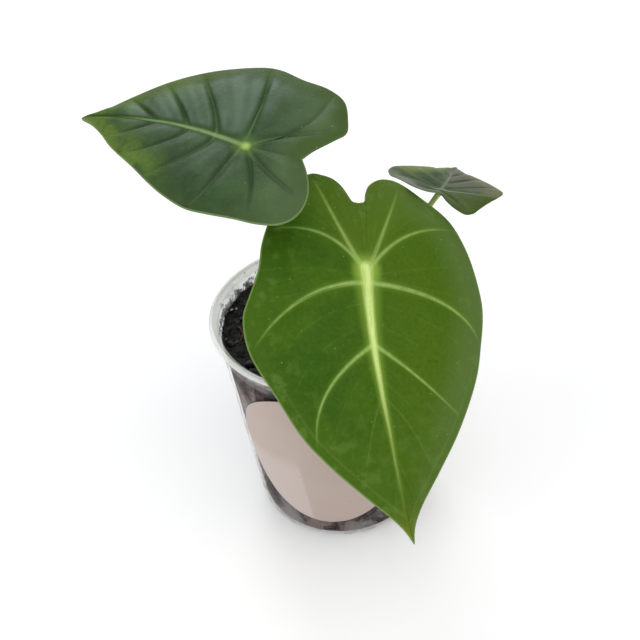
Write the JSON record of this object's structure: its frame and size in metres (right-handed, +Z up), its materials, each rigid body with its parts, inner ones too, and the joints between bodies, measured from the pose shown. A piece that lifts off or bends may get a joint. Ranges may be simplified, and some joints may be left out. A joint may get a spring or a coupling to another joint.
{
  "type": "potted alocasia plant",
  "caption": "Young alocasia frydek: heart-shaped velvet leaves with pale veins on slim stalks, rooted in a small clear nursery pot with a bare round sticker.",
  "frame": {"origin": "centre of the pot's flat underside", "axes": "+Z up along the pot's axis, -Y towards the pot's front, where the largest leaf hangs and the sticker is, +X to the right as seen from there"},
  "size_m": [0.0976, 0.0933, 0.116],
  "materials": {
    "pot_plastic": "thin clear plastic, slightly cloudy",
    "sticker_paper": "matt pinkish beige paper",
    "soil_mix": "damp crumbly potting mix",
    "crown_skin": "smooth green-brown skin",
    "stalk_green": "smooth pale green",
    "blade_mid_green": "satin mid green with pale veins",
    "blade_blue_green": "velvety dark blue-green",
    "blade_olive_green": "velvety grey-olive green"
  },
  "bodies": {
    "root": {"pot": "pot_plastic", "sticker": "sticker_paper", "soil": "soil_mix", "crown": "crown_skin", "stalk_large": "stalk_green", "stalk_left": "stalk_green", "stalk_small": "stalk_green", "blade_large": "blade_mid_green", "blade_left": "blade_blue_green", "blade_small": "blade_olive_green"}
  },
  "joints": []
}
